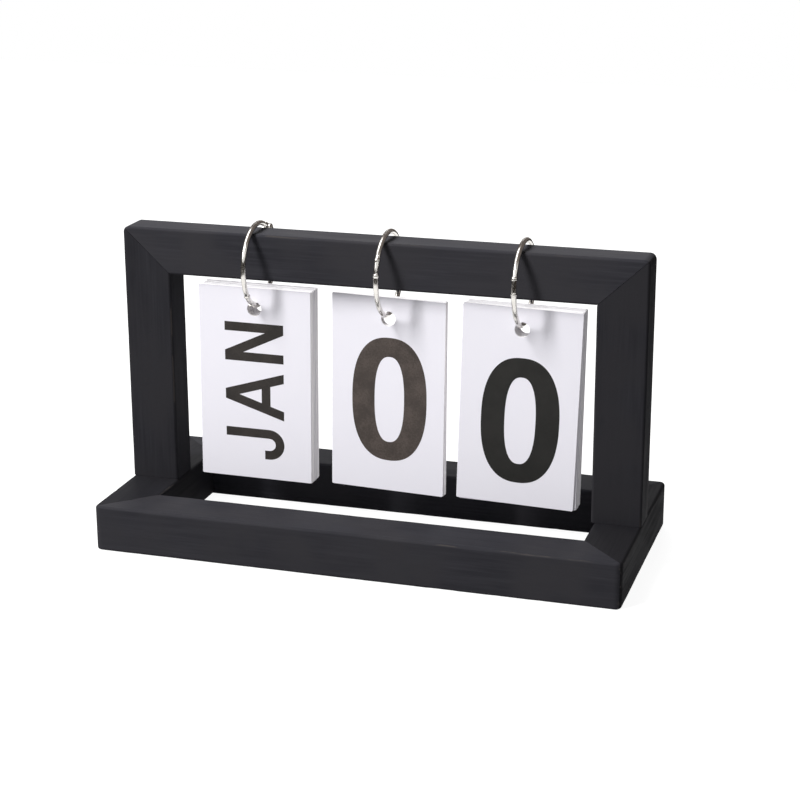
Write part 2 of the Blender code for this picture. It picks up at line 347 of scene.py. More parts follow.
def new_material(name):
    """A material with its nodes, its links and its shader."""
    material = bpy.data.materials.new(name)
    material.use_nodes = True
    tree = material.node_tree
    return material, tree.nodes, tree.links, tree.nodes["Principled BSDF"]


def bare_material(name):
    """A material with its nodes and its links, and no shader yet."""
    material, nodes, links, shader = new_material(name)
    nodes.remove(shader)
    return material, nodes, links


def add_noise(nodes, links, scale, stretch=(1, 1, 1), detail=3.0, seed=0.0):
    """Noise in the object's own space, with so many waves a metre, stretched along some axes."""
    place = nodes.new("ShaderNodeTexCoord")
    mapping = nodes.new("ShaderNodeMapping")
    mapping.inputs["Location"].default_value = (seed, seed / 3, seed / 7)
    mapping.inputs["Scale"].default_value = stretch
    texture = nodes.new("ShaderNodeTexNoise")
    texture.inputs["Scale"].default_value = scale
    texture.inputs["Detail"].default_value = detail
    links.new(place.outputs["Object"], mapping.inputs["Vector"])
    links.new(mapping.outputs["Vector"], texture.inputs["Vector"])
    return texture.outputs["Fac"]


def add_range(nodes, links, value, low, high, new_low=0.0, new_high=1.0):
    """A value mapped smoothly from one range to another."""
    mapped = nodes.new("ShaderNodeMapRange")
    mapped.interpolation_type = "SMOOTHSTEP"
    mapped.inputs["From Min"].default_value = low
    mapped.inputs["From Max"].default_value = high
    mapped.inputs["To Min"].default_value = new_low
    mapped.inputs["To Max"].default_value = new_high
    links.new(value, mapped.inputs["Value"])
    return mapped.outputs["Result"]


def add_math(nodes, links, operation, first, second):
    """Two values, or a value and a number, put together."""
    node = nodes.new("ShaderNodeMath")
    node.operation = operation
    for socket, value in zip(node.inputs, (first, second)):
        if isinstance(value, (int, float)):
            socket.default_value = value
        else:
            links.new(value, socket)
    return node.outputs["Value"]


def add_mix(nodes, links, factor, first, second):
    """Two colours mixed by a factor; each is a colour or a socket."""
    node = nodes.new("ShaderNodeMix")
    node.data_type = "RGBA"
    links.new(factor, node.inputs["Factor"])
    sockets = [socket for socket in node.inputs if socket.type == "RGBA"]
    for socket, value in zip(sockets, (first, second)):
        if isinstance(value, tuple):
            socket.default_value = (*value, 1.0)
        else:
            links.new(value, socket)
    return next(socket for socket in node.outputs if socket.type == "RGBA")


def add_bump(nodes, links, shader, height, distance, strength):
    """Fine relief on a shader, from a height in shares of a distance."""
    bump = nodes.new("ShaderNodeBump")
    bump.inputs["Distance"].default_value = distance
    bump.inputs["Strength"].default_value = strength
    links.new(height, bump.inputs["Height"])
    links.new(bump.outputs["Normal"], shader.inputs["Normal"])


def add_edge_mask(nodes, links, low, high):
    """1 where the surface leans away from the main directions, as rounded edges do, and 0 on flat faces."""
    place = nodes.new("ShaderNodeTexCoord")
    size = nodes.new("ShaderNodeVectorMath")
    size.operation = "ABSOLUTE"
    parts = nodes.new("ShaderNodeSeparateXYZ")
    links.new(place.outputs["Normal"], size.inputs[0])
    links.new(size.outputs["Vector"], parts.inputs["Vector"])
    level = add_math(nodes, links, "MAXIMUM", parts.outputs["X"], parts.outputs["Y"])
    most = add_math(nodes, links, "MAXIMUM", level, parts.outputs["Z"])
    lean = add_math(nodes, links, "SUBTRACT", 1.0, most)
    return add_range(nodes, links, lean, low, high)


def wood_material(name, along, seed, share):
    """Black stain brushed along the wood, thin and brown where the edges are worn."""
    material, nodes, links, shader = new_material(name)
    grain_stretch = tuple(0.035 if axis == along else 1.0 for axis in range(3))
    brush_stretch = tuple(0.12 if axis == along else 1.0 for axis in range(3))
    streaks = add_noise(nodes, links, 900.0, grain_stretch, 4.0, seed)
    brush = add_noise(nodes, links, 160.0, brush_stretch, 3.0, seed + 5.0)
    patches = add_noise(nodes, links, 34.0, (1, 1, 1), 2.0, seed + 9.0)
    pores = add_noise(nodes, links, 3200.0, grain_stretch, 2.0, seed + 2.0)
    lines = add_range(nodes, links, streaks, 0.40, 0.70)
    bands = add_range(nodes, links, brush, 0.35, 0.70)
    cloud = add_range(nodes, links, patches, 0.35, 0.68)
    tone = add_math(nodes, links, "MULTIPLY", add_math(nodes, links, "ADD", lines, bands), 0.5)
    # The piece's share scales all its stain colours: painted sheen and shade
    thick, thin, faded = (tuple(share * part for part in tint) for tint in stain_tints)
    stain = add_mix(nodes, links, tone, thick, thin)
    stain = add_mix(nodes, links, cloud, stain, faded)
    edge = add_edge_mask(nodes, links, 0.02, 0.24)
    rubbed = add_range(nodes, links, add_noise(nodes, links, 420.0, brush_stretch, 4.0, seed + 3.0), 0.56, 0.66)
    wear = add_math(nodes, links, "MULTIPLY", edge, rubbed)
    colour = add_mix(nodes, links, wear, stain, worn_colour)
    links.new(colour, shader.inputs["Base Color"])
    links.new(add_range(nodes, links, tone, 0.0, 1.0, 0.66, 0.84), shader.inputs["Roughness"])
    shader.inputs["Specular IOR Level"].default_value = wood_specular
    relief = add_math(nodes, links, "ADD", streaks, add_math(nodes, links, "MULTIPLY", pores, 0.5))
    add_bump(nodes, links, shader, relief, 0.00012, 0.35)
    return material


def card_material(name, seed, hole):
    """Smooth white card, faintly mottled, with a greyer, layered cut edge.

    The cut edges glow a little, most of all the upper ones, which are in the rail's shade, and only faintly in
    the hole's bore: painted light that keeps them pale.
    """
    material, nodes, links, shader = new_material(name)
    fibres = add_noise(nodes, links, 2600.0, (1, 1, 1), 4.0, seed)
    cloud = add_noise(nodes, links, 60.0, (1, 1, 1), 2.0, seed + 4.0)
    tone = add_math(nodes, links, "MULTIPLY", add_math(nodes, links, "ADD", fibres, cloud), 0.5)
    face = add_mix(nodes, links, tone, *face_tints)
    place = nodes.new("ShaderNodeTexCoord")
    parts = nodes.new("ShaderNodeSeparateXYZ")
    links.new(place.outputs["Normal"], parts.inputs["Vector"])
    facing = add_math(nodes, links, "ABSOLUTE", parts.outputs["Y"], 0.0)
    cut = add_range(nodes, links, facing, 0.55, 0.25)
    layers = add_noise(nodes, links, 900.0, (0.05, 9.0, 0.05), 2.0, seed + 1.0)
    core = add_mix(nodes, links, layers, *core_tints)
    links.new(add_mix(nodes, links, cut, face, core), shader.inputs["Base Color"])
    # Painted glow on the cut edges, stronger on the upper ones, which lie in the rail's shade
    painted_glow = add_range(nodes, links, parts.outputs["Z"], 0.3, 0.8, cut_glow, top_cut_glow)
    distance = nodes.new("ShaderNodeVectorMath")
    distance.operation = "DISTANCE"
    distance.inputs[1].default_value = hole
    links.new(place.outputs["Object"], distance.inputs[0])
    outside = add_range(
        nodes, links, distance.outputs["Value"], 1.2 * hole_radius, 1.6 * hole_radius, bore_glow_share, 1.0,
    )
    painted_glow = add_math(nodes, links, "MULTIPLY", painted_glow, outside)
    links.new(add_math(nodes, links, "MULTIPLY", cut, painted_glow), shader.inputs["Emission Strength"])
    shader.inputs["Emission Color"].default_value = painted_glow_colour
    shader.inputs["Roughness"].default_value = card_roughness
    shader.inputs["Specular IOR Level"].default_value = card_specular
    add_bump(nodes, links, shader, fibres, 0.00003, 0.12)
    return material


def ink_material(name, colour, seed):
    """Printed ink, slightly mottled."""
    material, nodes, links, shader = new_material(name)
    grain = add_noise(nodes, links, 1500.0, (1, 1, 1), 5.0, seed)
    cloud = add_noise(nodes, links, 130.0, (1, 1, 1), 3.0, seed + 6.0)
    tone = add_range(nodes, links, add_math(nodes, links, "MULTIPLY", grain, cloud), 0.12, 0.40)
    dark = tuple(0.72 * part for part in colour)
    light = tuple(1.30 * part for part in colour)
    links.new(add_mix(nodes, links, tone, dark, light), shader.inputs["Base Color"])
    links.new(add_range(nodes, links, grain, 0.3, 0.7, 0.50, 0.68), shader.inputs["Roughness"])
    shader.inputs["Specular IOR Level"].default_value = card_specular
    add_bump(nodes, links, shader, grain, 0.00002, 0.15)
    return material


def metal_material(name, metal, seed):
    """Metal with a slightly uneven polish and hairline scratches."""
    colour, roughness = metal["colour"], metal["roughness"]
    material, nodes, links, shader = new_material(name)
    cloud = add_noise(nodes, links, 260.0, (1, 1, 1), 4.0, seed)
    lines = add_noise(nodes, links, 4200.0, (1.0, 0.08, 0.08), 3.0, seed + 2.0)
    dull = tuple(0.86 * part for part in colour)
    tone = add_range(nodes, links, cloud, 0.35, 0.68)
    links.new(add_mix(nodes, links, tone, dull, colour), shader.inputs["Base Color"])
    shader.inputs["Metallic"].default_value = 1.0
    polish = add_range(nodes, links, cloud, 0.30, 0.75, roughness * 0.8, roughness * 1.5)
    links.new(polish, shader.inputs["Roughness"])
    add_bump(nodes, links, shader, lines, 0.00002, metal["scratches"])
    return material


def side_end(corner, direction, inward):
    """The end of a frame's side, from its straight outer edge round to its inner edge.

    A mitred end takes half of the frame's round corner and stops half a gap short of the mitre.
    """
    outer, inner, mitred = corner
    if not mitred:
        return [outer, inner]
    centre = outer + (inward - direction) * wood_corner_radius
    mitre = centre + (direction - inward) * wood_corner_radius / math.sqrt(2) - inner
    turn = math.pi / 4 - mitre_gap / 2 / wood_corner_radius
    points = []
    for step in range(mitre_steps + 1):
        angle = turn * step / mitre_steps
        points.append(centre + (direction * math.sin(angle) - inward * math.cos(angle)) * wood_corner_radius)
    points.append(inner - direction * mitre_gap / 2 / abs(direction.cross(mitre.normalized())))
    return points


def sawn_mesh(outline, thickness):
    """A piece of wood with rounded long edges and sharp cut ends.

    The outline starts and ends at the piece's inner edge, so its first and last stretches are the cuts.
    """
    mesh = flat_mesh([outline], thickness)
    cuts = [(outline[0] + outline[1]) / 2, (outline[-1] + outline[-2]) / 2]
    solid = bmesh.new()
    solid.from_mesh(mesh)
    weight = solid.edges.layers.float.new("bevel_weight_edge")
    for edge in solid.edges:
        first, second = (corner.co for corner in edge.verts)
        level = math.isclose(first.z, second.z, abs_tol=weld_distance)
        middle = ((first + second) / 2).xy
        at_cut = min((middle - cut).length for cut in cuts) < 2 * mitre_gap
        edge[weight] = float(level and not at_cut)
    solid.to_mesh(mesh)
    solid.free()
    thing = scratch("sawn", mesh)
    bevel = thing.modifiers.new("bevel", "BEVEL")
    bevel.limit_method = "WEIGHT"
    bevel.width = wood_edge_radius
    bevel.segments = wood_edge_steps
    return baked(thing)


def worn(mesh, along, seed):
    """A piece of wood cut across into short stretches, its surface drawn in unevenly as hand sanding does."""
    solid = bmesh.new()
    solid.from_mesh(mesh)
    direction = Vector([1.0 if axis == along else 0.0 for axis in range(3)])
    reach = [corner.co[along] for corner in solid.verts]
    start, length = min(reach), max(reach) - min(reach)
    stretches = round(length / wood_cut_spacing)
    for step in range(1, stretches):
        everything = solid.verts[:] + solid.edges[:] + solid.faces[:]
        place = direction * (start + length * step / stretches)
        bmesh.ops.bisect_plane(solid, geom=everything, dist=weld_distance, plane_co=place, plane_no=direction)
    solid.normal_update()
    shift = Vector((seed, 2 * seed, 3 * seed))
    drawn_in = []
    for corner in solid.verts:
        wave = 0.5 + 0.5 * noise.noise(corner.co / wood_wave_length + shift)
        dent = max(0.0, noise.noise(corner.co / wood_dent_length - shift) - wood_dent_threshold)
        drawn_in.append(wave * wood_waviness + dent * wood_dent_depth)
    for corner, depth in zip(solid.verts, drawn_in):
        flat = max(abs(part) for part in corner.normal) > 0.99
        corner.co -= corner.normal * depth * (flat_face_wear if flat else 1.0)
    solid.to_mesh(mesh)
    solid.free()
    return mesh


def build_side(name, corners, thickness, matrix, along, seed, holes=()):
    """One mitred piece of a wooden frame."""
    start, end = corners
    direction = (end[0] - start[0]).normalized()
    inward = Vector((-direction.y, direction.x))
    outline = side_end(start, -direction, inward)[::-1] + side_end(end, direction, inward)
    mesh = sawn_mesh(outline, thickness)
    mesh.transform(matrix)
    mesh = worn(mesh, along, seed)
    if holes:
        mesh = joined(mesh, holes, "DIFFERENCE")
    # The piece's stain is scaled by its share, a painted sheen and shade
    stain = wood_material(f"{name}_stain", along, seed, sheen_and_shade_shares[name])
    shade_evenly(add_piece(f"{name}_wood", smooth(mesh), stain, "frame", "wood", name))


def screw_hole(screw):
    """The hole that a screw's head lies in, open at the bottom."""
    low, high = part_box(screw)
    centre = (low + high) / 2
    depth = screw_head_height + screw_head_sink
    place = Matrix.Translation((centre.x, centre.y, depth / 2 - past / 2))
    return cone_mesh(screw_head_radius + screw_hole_play, screw_hole_play, depth + past, place)


def build_base():
    """The base's four rails, mitred at its corners."""
    left, inner_left = (corner.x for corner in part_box("base_left_rail"))
    inner_right, right = (corner.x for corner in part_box("base_right_rail"))
    front, inner_front = (corner.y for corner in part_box("base_front_rail"))
    inner_back, back = (corner.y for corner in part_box("base_back_rail"))
    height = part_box("base_front_rail")[1].z
    corners = [
        (Vector((left, front)), Vector((inner_left, inner_front)), True),
        (Vector((right, front)), Vector((inner_right, inner_front)), True),
        (Vector((right, back)), Vector((inner_right, inner_back)), True),
        (Vector((left, back)), Vector((inner_left, inner_back)), True),
    ]
    matrix = Matrix.Translation((0, 0, height / 2))
    sides = [
        ("base_front_rail", 0, ()),
        ("base_right_rail", 1, ("right_post_screw",)),
        ("base_back_rail", 0, ()),
        ("base_left_rail", 1, ("left_post_screw",)),
    ]
    for number, (name, along, screws) in enumerate(sides):
        ends = (corners[number], corners[(number + 1) % len(corners)])
        holes = [screw_hole(screw) for screw in screws]
        build_side(name, ends, height, matrix, along, base_seed + number, holes)


def build_upright():
    """The right post, the top rail and the left post, mitred at the upper corners, their feet on the base."""
    left, inner_left = (corner.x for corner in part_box("left_post"))
    inner_right, right = (corner.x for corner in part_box("right_post"))
    under, top = (corner.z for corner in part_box("top_rail"))
    front, back = (corner.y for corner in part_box("top_rail"))
    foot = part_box("base_front_rail")[1].z + foot_gap
    corners = [
        (Vector((right, foot)), Vector((inner_right, foot)), False),
        (Vector((right, top)), Vector((inner_right, under)), True),
        (Vector((left, top)), Vector((inner_left, under)), True),
        (Vector((left, foot)), Vector((inner_left, foot)), False),
    ]
    matrix = Matrix.Translation((0, (front + back) / 2, 0)) @ Matrix.Rotation(math.pi / 2, 4, "X")
    for number, (name, along) in enumerate((("right_post", 2), ("top_rail", 0), ("left_post", 2))):
        ends = (corners[number], corners[number + 1])
        build_side(name, ends, back - front, matrix, along, upright_seed + number)


def wire_mesh(start, end):
    """A stretch of ring wire round the X axis, between two angles from +Y towards +Z."""
    curve = bpy.data.curves.new("wire", "CURVE")
    curve.dimensions = "3D"
    curve.bevel_depth = wire_radius
    curve.bevel_resolution = wire_side_level
    curve.use_fill_caps = True
    spline = curve.splines.new("POLY")
    spline.points.add(wire_steps)
    for step, point in enumerate(spline.points):
        angle = start + (end - start) * step / wire_steps
        point.co = (0, ring_radius * math.cos(angle), ring_radius * math.sin(angle), 1)
    return baked(scratch("wire", curve))


def knuckle_mesh(thickness, direction):
    """A round knuckle with an arm that narrows to the wire, in the YZ plane about the ring's hinge."""
    outline = []
    for step in range(knuckle_steps + 1):
        angle = math.pi * step / knuckle_steps
        outline.append((knuckle_radius * math.cos(angle), -direction * knuckle_radius * math.sin(angle)))
    outline.append((-wire_radius, direction * knuckle_arm))
    outline.append((wire_radius, direction * knuckle_arm))
    mesh = bevelled(flat_mesh([outline], thickness), knuckle_rounding, rounding_steps)
    mesh.transform(Matrix.Rotation(math.pi / 2, 4, "Z") @ Matrix.Rotation(math.pi / 2, 4, "X"))
    mesh.transform(Matrix.Translation((0, ring_radius, 0)))
    return mesh


def bead_mesh(side):
    """The small bead at the full wire's end, where the latch's lap starts."""
    angle = side * (math.pi - latch_lap / 2 / ring_radius - bead_setback / ring_radius)
    mesh = bpy.data.meshes.new("bead")
    solid = bmesh.new()
    place = Matrix.Translation((0, ring_radius * math.cos(angle), ring_radius * math.sin(angle)))
    around, along = bead_steps
    bmesh.ops.create_uvsphere(solid, u_segments=around, v_segments=along, radius=bead_radius, matrix=place)
    solid.to_mesh(mesh)
    solid.free()
    return mesh


def half_ring_mesh(side):
    """A half ring about X, its hinge at +Y: side 1 opens and has the tongue, side -1 has the fork."""
    start = (knuckle_radius + 2 * hinge_play) / ring_radius
    end = math.pi + latch_lap / 2 / ring_radius
    fork_width = tongue_thickness + 2 * (hinge_play + fork_plate)
    width = tongue_thickness if side > 0 else fork_width
    across = Matrix.Translation((0, ring_radius, 0)) @ Matrix.Rotation(math.pi / 2, 4, "Y")
    mesh = joined(wire_mesh(side * start, side * end), [knuckle_mesh(width, side), bead_mesh(side)], "UNION")
    bore = rivet_radius + hinge_play / 3
    cutters = [cone_mesh(bore, bore, fork_width + 2 * past, across)]
    if side < 0:
        slot = knuckle_radius + hinge_play
        cutters.append(cone_mesh(slot, slot, tongue_thickness + 2 * hinge_play, across))
    lap_length = latch_lap + latch_play + past
    lap_size = (wire_radius + past, 2 * (wire_radius + past), lap_length)
    lap_centre = (
        side * (lap_size[0] - latch_play) / 2,
        -ring_radius,
        side * (latch_lap / 2 + latch_play - lap_length / 2),
    )
    cutters.append(box_mesh(lap_size, lap_centre))
    return smooth(joined(mesh, cutters, "DIFFERENCE"))


def rivet_mesh():
    """The hinge's rivet about X, with a low dome on each end."""
    inner = (tongue_thickness + 2 * (hinge_play + fork_plate)) / 2 + hinge_play / 3
    outer = inner + rivet_head_height
    half = [(0, outer)]
    for step in range(1, dome_steps + 1):
        angle = math.pi / 2 * step / dome_steps
        half.append((rivet_head_radius * math.sin(angle), inner + rivet_head_height * math.cos(angle)))
    half.append((rivet_radius, inner))
    profile = half + [(radius, -height) for radius, height in reversed(half)]
    mesh = bpy.data.meshes.new("rivet")
    solid = bmesh.new()
    points = [solid.verts.new((radius, 0, height)) for radius, height in profile]
    for above, below in zip(points, points[1:]):
        solid.edges.new((above, below))
    solid.to_mesh(mesh)
    solid.free()
    thing = scratch("rivet", mesh)
    screw = thing.modifiers.new("turn", "SCREW")
    screw.steps = turned_steps
    screw.render_steps = turned_steps
    screw.use_merge_vertices = True
    screw.merge_threshold = weld_distance
    mesh = baked(thing)
    mesh.transform(Matrix.Translation((0, ring_radius, 0)) @ Matrix.Rotation(math.pi / 2, 4, "Y"))
    return smooth(mesh)


def build_rings():
    """Three book rings, each of two half rings and a rivet."""
    fixed_half, opening_half, rivet = half_ring_mesh(-1), half_ring_mesh(1), rivet_mesh()
    for number, stack in enumerate(stacks):
        name = stack["name"]
        place = Matrix.Translation(ring_centre(stack)) @ Matrix.Rotation(math.radians(stack["hinge"]), 4, "X")
        kinds = [
            ("fixed_half", fixed_half, f"{name}_ring"),
            ("opening_half", opening_half, f"{name}_ring_opening"),
            ("rivet", rivet, f"{name}_ring"),
        ]
        for step, (kind, shape, body) in enumerate(kinds):
            mesh = shape.copy()
            mesh.transform(place)
            seed = ring_seed + len(kinds) * number + step
            metal = metal_material(f"{name}_{kind}_nickel", nickel, seed)
            add_piece(f"{name}_{kind}_metal", mesh, metal, body, "rings", f"{name}_ring_{kind}")


def card_matrix(stack, number):
    """Where a card hangs: its own XY plane, with the hole at its origin, put in the calendar."""
    depth = (number - (len(stack["cards"]) - 1) / 2) * card_pitch
    wire_height = -math.sqrt(ring_radius ** 2 - depth ** 2)
    slope = -depth / wire_height
    wire_in_card = wire_radius * math.hypot(1, slope) + abs(slope) * cad_card_thickness / 2
    play = hole_radius - hole_play - wire_in_card
    aside = stack["play_share"] * play
    hole = Vector((aside, depth, wire_height - math.sqrt(play ** 2 - aside ** 2)))
    lean = stack["lean"] if number else stack["front_lean"]
    turn = Euler((math.pi / 2, math.radians(lean), math.radians(stack["turn"])))
    return Matrix.Translation(ring_centre(stack) + hole) @ turn.to_matrix().to_4x4()


def card_mesh():
    """A card with round corners and a punched hole, its cut edges slightly rounded."""
    outline = []
    low, high = hole_to_card_top - card_height, hole_to_card_top
    across, up = card_width / 2 - card_corner_radius, card_corner_radius
    centres = ((across, high - up), (-across, high - up), (-across, low + up), (across, low + up))
    for quarter, (x, y) in enumerate(centres):
        for step in range(corner_steps + 1):
            angle = (quarter + step / corner_steps) * math.pi / 2
            outline.append((x + card_corner_radius * math.cos(angle), y + card_corner_radius * math.sin(angle)))
    hole = []
    for step in range(hole_steps):
        angle = -2 * math.pi * step / hole_steps
        hole.append((hole_radius * math.cos(angle), hole_radius * math.sin(angle)))
    return smooth(bevelled(flat_mesh([outline, hole], card_thickness), card_edge_rounding, rounding_steps))


def bow(x, y, across, up, start, end):
    """Points along an arc of an ellipse, between two angles in degrees."""
    points = []
    for step in range(arc_steps + 1):
        angle = math.radians(start + (end - start) * step / arc_steps)
        points.append((x + across * math.cos(angle), y + up * math.sin(angle)))
    return points


def mirrored(path, width):
    """A path's mirror image about the middle of a letter."""
    return [(width - x, y) for x, y in path]


def bowl(side, high, low, across):
    """A letter's bowl: level from the stem, round at the side, and level back to the stem."""
    stem = letter_stroke / 2
    turn = bow(side, (high + low) / 2, across, (high - low) / 2, 90, -90)
    return [(stem, high), (side, high)] + turn + [(stem, low)]


def letter_strokes():
    """Each letter's width and its strokes' centre lines, for a cap height of 1.

    A line that ends at the top or the bottom runs past it, and is cut level there.
    """
    h = letter_stroke / 2
    top, over, under = 1 - h, 1.3, -0.3
    stem = [(h, under), (h, over)]
    leg = [(0.083 - 0.3 * 0.312, under), (0.083 + 1.3 * 0.312, over)]
    valley = [(0.065, over), (0.4 + 0.3 * 0.26, under)]
    descent = [(0.083 - 0.3 * 0.479, over), (0.562 + 0.3 * 0.479, under)]
    wing = [(0.083 - 0.3 * 0.287, over), (0.37 + 0.3 * 0.287, under)]
    branch = [(0.083 - 0.3 * 0.5, over), (0.37, 0.43)]
    shapes = {
        "A": (0.800, [leg, mirrored(leg, 0.800), [(0.18, 0.306), (0.62, 0.306)]]),
        "B": (0.640, [
            stem,
            bowl(0.34, top, 0.53, 0.19),
            bowl(0.36, 0.53, h, 0.205),
        ]),
        "C": (0.690, [bow(0.365, 0.5, 0.29, 0.5 - h, 46, 314)]),
        "D": (0.680, [stem, bowl(0.32, top, h, 0.285)]),
        "E": (0.590, [stem, [(h, top), (0.59, top)], [(h, 0.51), (0.54, 0.51)], [(h, h), (0.59, h)]]),
        "F": (0.560, [stem, [(h, top), (0.56, top)], [(h, 0.49), (0.50, 0.49)]]),
        "G": (0.730, [bow(0.37, 0.5, 0.295, 0.5 - h, 46, 360), [(0.40, 0.46), (0.73, 0.46)]]),
        "J": (0.510, [
            [(0.51 - h, over), (0.51 - h, 0.26)] + bow(0.255, 0.26, 0.18, 0.26 - h, 0, -180) + [(h, 0.335)],
        ]),
        "L": (0.540, [stem, [(h, h), (0.54, h)]]),
        "M": (0.800, [stem, mirrored(stem, 0.8), valley, mirrored(valley, 0.8)]),
        "N": (0.645, [stem, mirrored(stem, 0.645), descent]),
        "O": (0.760, []),
        "P": (0.620, [stem, bowl(0.35, top, 0.45, 0.195)]),
        "R": (0.660, [stem, bowl(0.36, top, 0.47, 0.195), [(0.36, 0.47), (0.69, under)]]),
        "S": (0.620, [
            bow(0.31, (top + 0.5) / 2, 0.225, (top - 0.5) / 2, 22, 270)
            + bow(0.31, (0.5 + h) / 2, 0.235, (0.5 - h) / 2, 90, -158)[1:],
        ]),
        "T": (0.640, [[(0, top), (0.64, top)], [(0.32, under), (0.32, top)]]),
        "U": (0.630, [
            [(h, over), (h, 0.31)] + bow(0.315, 0.31, 0.24, 0.31 - h, 180, 360) + [(0.63 - h, over)],
        ]),
        "V": (0.740, [wing, mirrored(wing, 0.74)]),
        "Y": (0.740, [branch, mirrored(branch, 0.74), [(0.37, 0.46), (0.37, under)]]),
    }
    return shapes


def digit_strokes():
    """Each digit's strokes' centre lines, for a height of 1."""
    h, w = digit_stroke / 2, digit_width
    top, over, under = 1 - h, 1.3, -0.3
    hook = bow(0.34, 0.5, 0.254, 0.5 - h, 52, 180) + [(h, 0.31)]
    loop = bow(w / 2, 0.31, w / 2 - h, 0.31 - h, 0, 360)
    return {
        "0": [],
        "1": [[(0.36, under), (0.36, over)], [(0.08, 0.72), (0.36, 0.90)]],
        "2": [bow(w / 2, 0.70, w / 2 - h, 0.30 - h, 172, -38) + [(0.10, 0.10)], [(0.02, h), (w - 0.02, h)]],
        "3": [
            bow(0.285, (top + 0.53) / 2, 0.205, (top - 0.53) / 2, 160, -90),
            bow(0.285, (0.53 + h) / 2, 0.225, (0.53 - h) / 2, 90, -165),
        ],
        "4": [[(0.40, over), (0.07, 0.31)], [(0.02, 0.29), (w, 0.29)], [(0.42, under), (0.42, over)]],
        "5": [
            [(0.54, top), (0.13, top)], [(0.165, top), (0.12, 0.50)],
            bow(0.29, 0.325, 0.225, 0.325 - h, 140, -160),
        ],
        "6": [hook, loop],
        "7": [[(0.03, top), (w - 0.02, top)], [(0.49, 0.92), (0.16, under)]],
        "8": [
            bow(w / 2, (top + 0.52) / 2, 0.19, (top - 0.52) / 2, 0, 360),
            bow(w / 2, (0.52 + h) / 2, w / 2 - h, (0.52 - h) / 2, 0, 360),
        ],
        "9": [[(w - x, 1 - y) for x, y in hook], [(w - x, 1 - y) for x, y in loop]],
    }


def offset_line(points, distance, closed):
    """A line moved sideways by a distance, with mitred corners."""
    moved = []
    count = len(points)
    for number, point in enumerate(points):
        before = points[number - 1] if number or closed else None
        after = points[(number + 1) % count] if number + 1 < count or closed else None
        ways = []
        for first, second in ((before, point), (point, after)):
            if first is not None and second is not None:
                way = Vector(second) - Vector(first)
                ways.append(Vector((-way.y, way.x)).normalized())
        side = sum(ways, Vector((0, 0))).normalized()
        moved.append(Vector(point) + side * distance / side.dot(ways[0]))
    return moved


def stroke_mesh(points, width, thickness):
    """A flat stroke along a line of points; one that ends where it starts is a ring."""
    closed = math.dist(points[0], points[-1]) < width / 100
    if closed:
        points = points[:-1]
    points = [points[0]] + [
        point for before, point in zip(points, points[1:]) if math.dist(before, point) > width / 1000
    ]
    left = offset_line(points, width / 2, closed)
    right = offset_line(points, -width / 2, closed)
    return flat_mesh([left, right] if closed else [left + right[::-1]], thickness)


def round_loop(width, height, roundness):
    """A closed curve between an ellipse and a rectangle, about its own middle."""
    points = []
    for step in range(4 * arc_steps):
        angle = 2 * math.pi * step / (4 * arc_steps)
        x, y = math.cos(angle), math.sin(angle)
        points.append((
            width / 2 * math.copysign(abs(x) ** (2 / roundness), x),
            height / 2 * math.copysign(abs(y) ** (2 / roundness), y),
        ))
    return points


def sign_mesh(strokes, stroke, width, loops):
    """A letter or digit as one flat plate, cut level at its top and bottom."""
    thickness = 1.0
    if not strokes:
        mesh = flat_mesh(loops, thickness)
        mesh.transform(Matrix.Translation((width / 2, 0.5, 0)))
        return mesh
    shapes = [stroke_mesh(points, stroke, thickness) for points in strokes]
    mesh = joined(shapes[0], shapes[1:], "UNION") if len(shapes) > 1 else shapes[0]
    frame_box = box_mesh((2.0, 1.0, 2.0), (width / 2, 0.5, 0))
    return joined(mesh, [frame_box], "INTERSECT")


def merged(meshes):
    """Several meshes as one."""
    solid = bmesh.new()
    for mesh in meshes:
        solid.from_mesh(mesh)
    result = bpy.data.meshes.new("merged")
    solid.to_mesh(result)
    solid.free()
    return result


def ink_depth():
    """Puts a plate of unit thickness just above a card's front face."""
    middle = card_thickness / 2 + ink_lift + ink_thickness / 2
    return Matrix.Translation((0, 0, middle)) @ Matrix.Diagonal((1, 1, ink_thickness, 1))


def word_mesh(word, letters, centre):
    """A month's name in card space: it reads upwards, its letters' tops to the left."""
    widths = [letters[letter][0] * letter_height for letter in word]
    length = sum(widths) + letter_space * (len(word) - 1)
    baseline = centre[0] + letter_height / 2
    start = centre[1] - length / 2
    meshes = []
    for letter, width in zip(word, widths):
        mesh = letters[letter][1].copy()
        turn = Matrix.Rotation(math.pi / 2, 4, "Z") @ Matrix.Diagonal((letter_height, letter_height, 1, 1))
        mesh.transform(Matrix.Translation((baseline, start, 0)) @ turn)
        meshes.append(mesh)
        start += width + letter_space
    result = merged(meshes)
    result.transform(ink_depth())
    return result


def digit_mesh(shape, centre):
    """A digit in card space."""
    x, y = centre
    mesh = shape.copy()
    size = Matrix.Diagonal((digit_height, digit_height, 1, 1))
    corner = (x - digit_width * digit_height / 2, y - digit_height / 2, 0)
    mesh.transform(Matrix.Translation(corner) @ size)
    mesh.transform(ink_depth())
    return mesh


def build_signs():
    """All letters, each with its width, and all digits, as plates of unit thickness and height."""
    letters = {}
    for letter, (width, strokes) in letter_strokes().items():
        hollow = (width - 2 * letter_stroke, 1 - 2 * letter_stroke)
        loops = [round_loop(width, 1, letter_roundness), round_loop(*hollow, letter_roundness)]
        letters[letter] = (width, sign_mesh(strokes, letter_stroke, width, loops))
    zero = [
        round_loop(digit_width, 1, zero_outer_roundness),
        round_loop(zero_inner_width, zero_inner_height, zero_inner_roundness),
    ]
    digits = {
        digit: sign_mesh(strokes, digit_stroke, digit_width, zero) for digit, strokes in digit_strokes().items()
    }
    return letters, digits


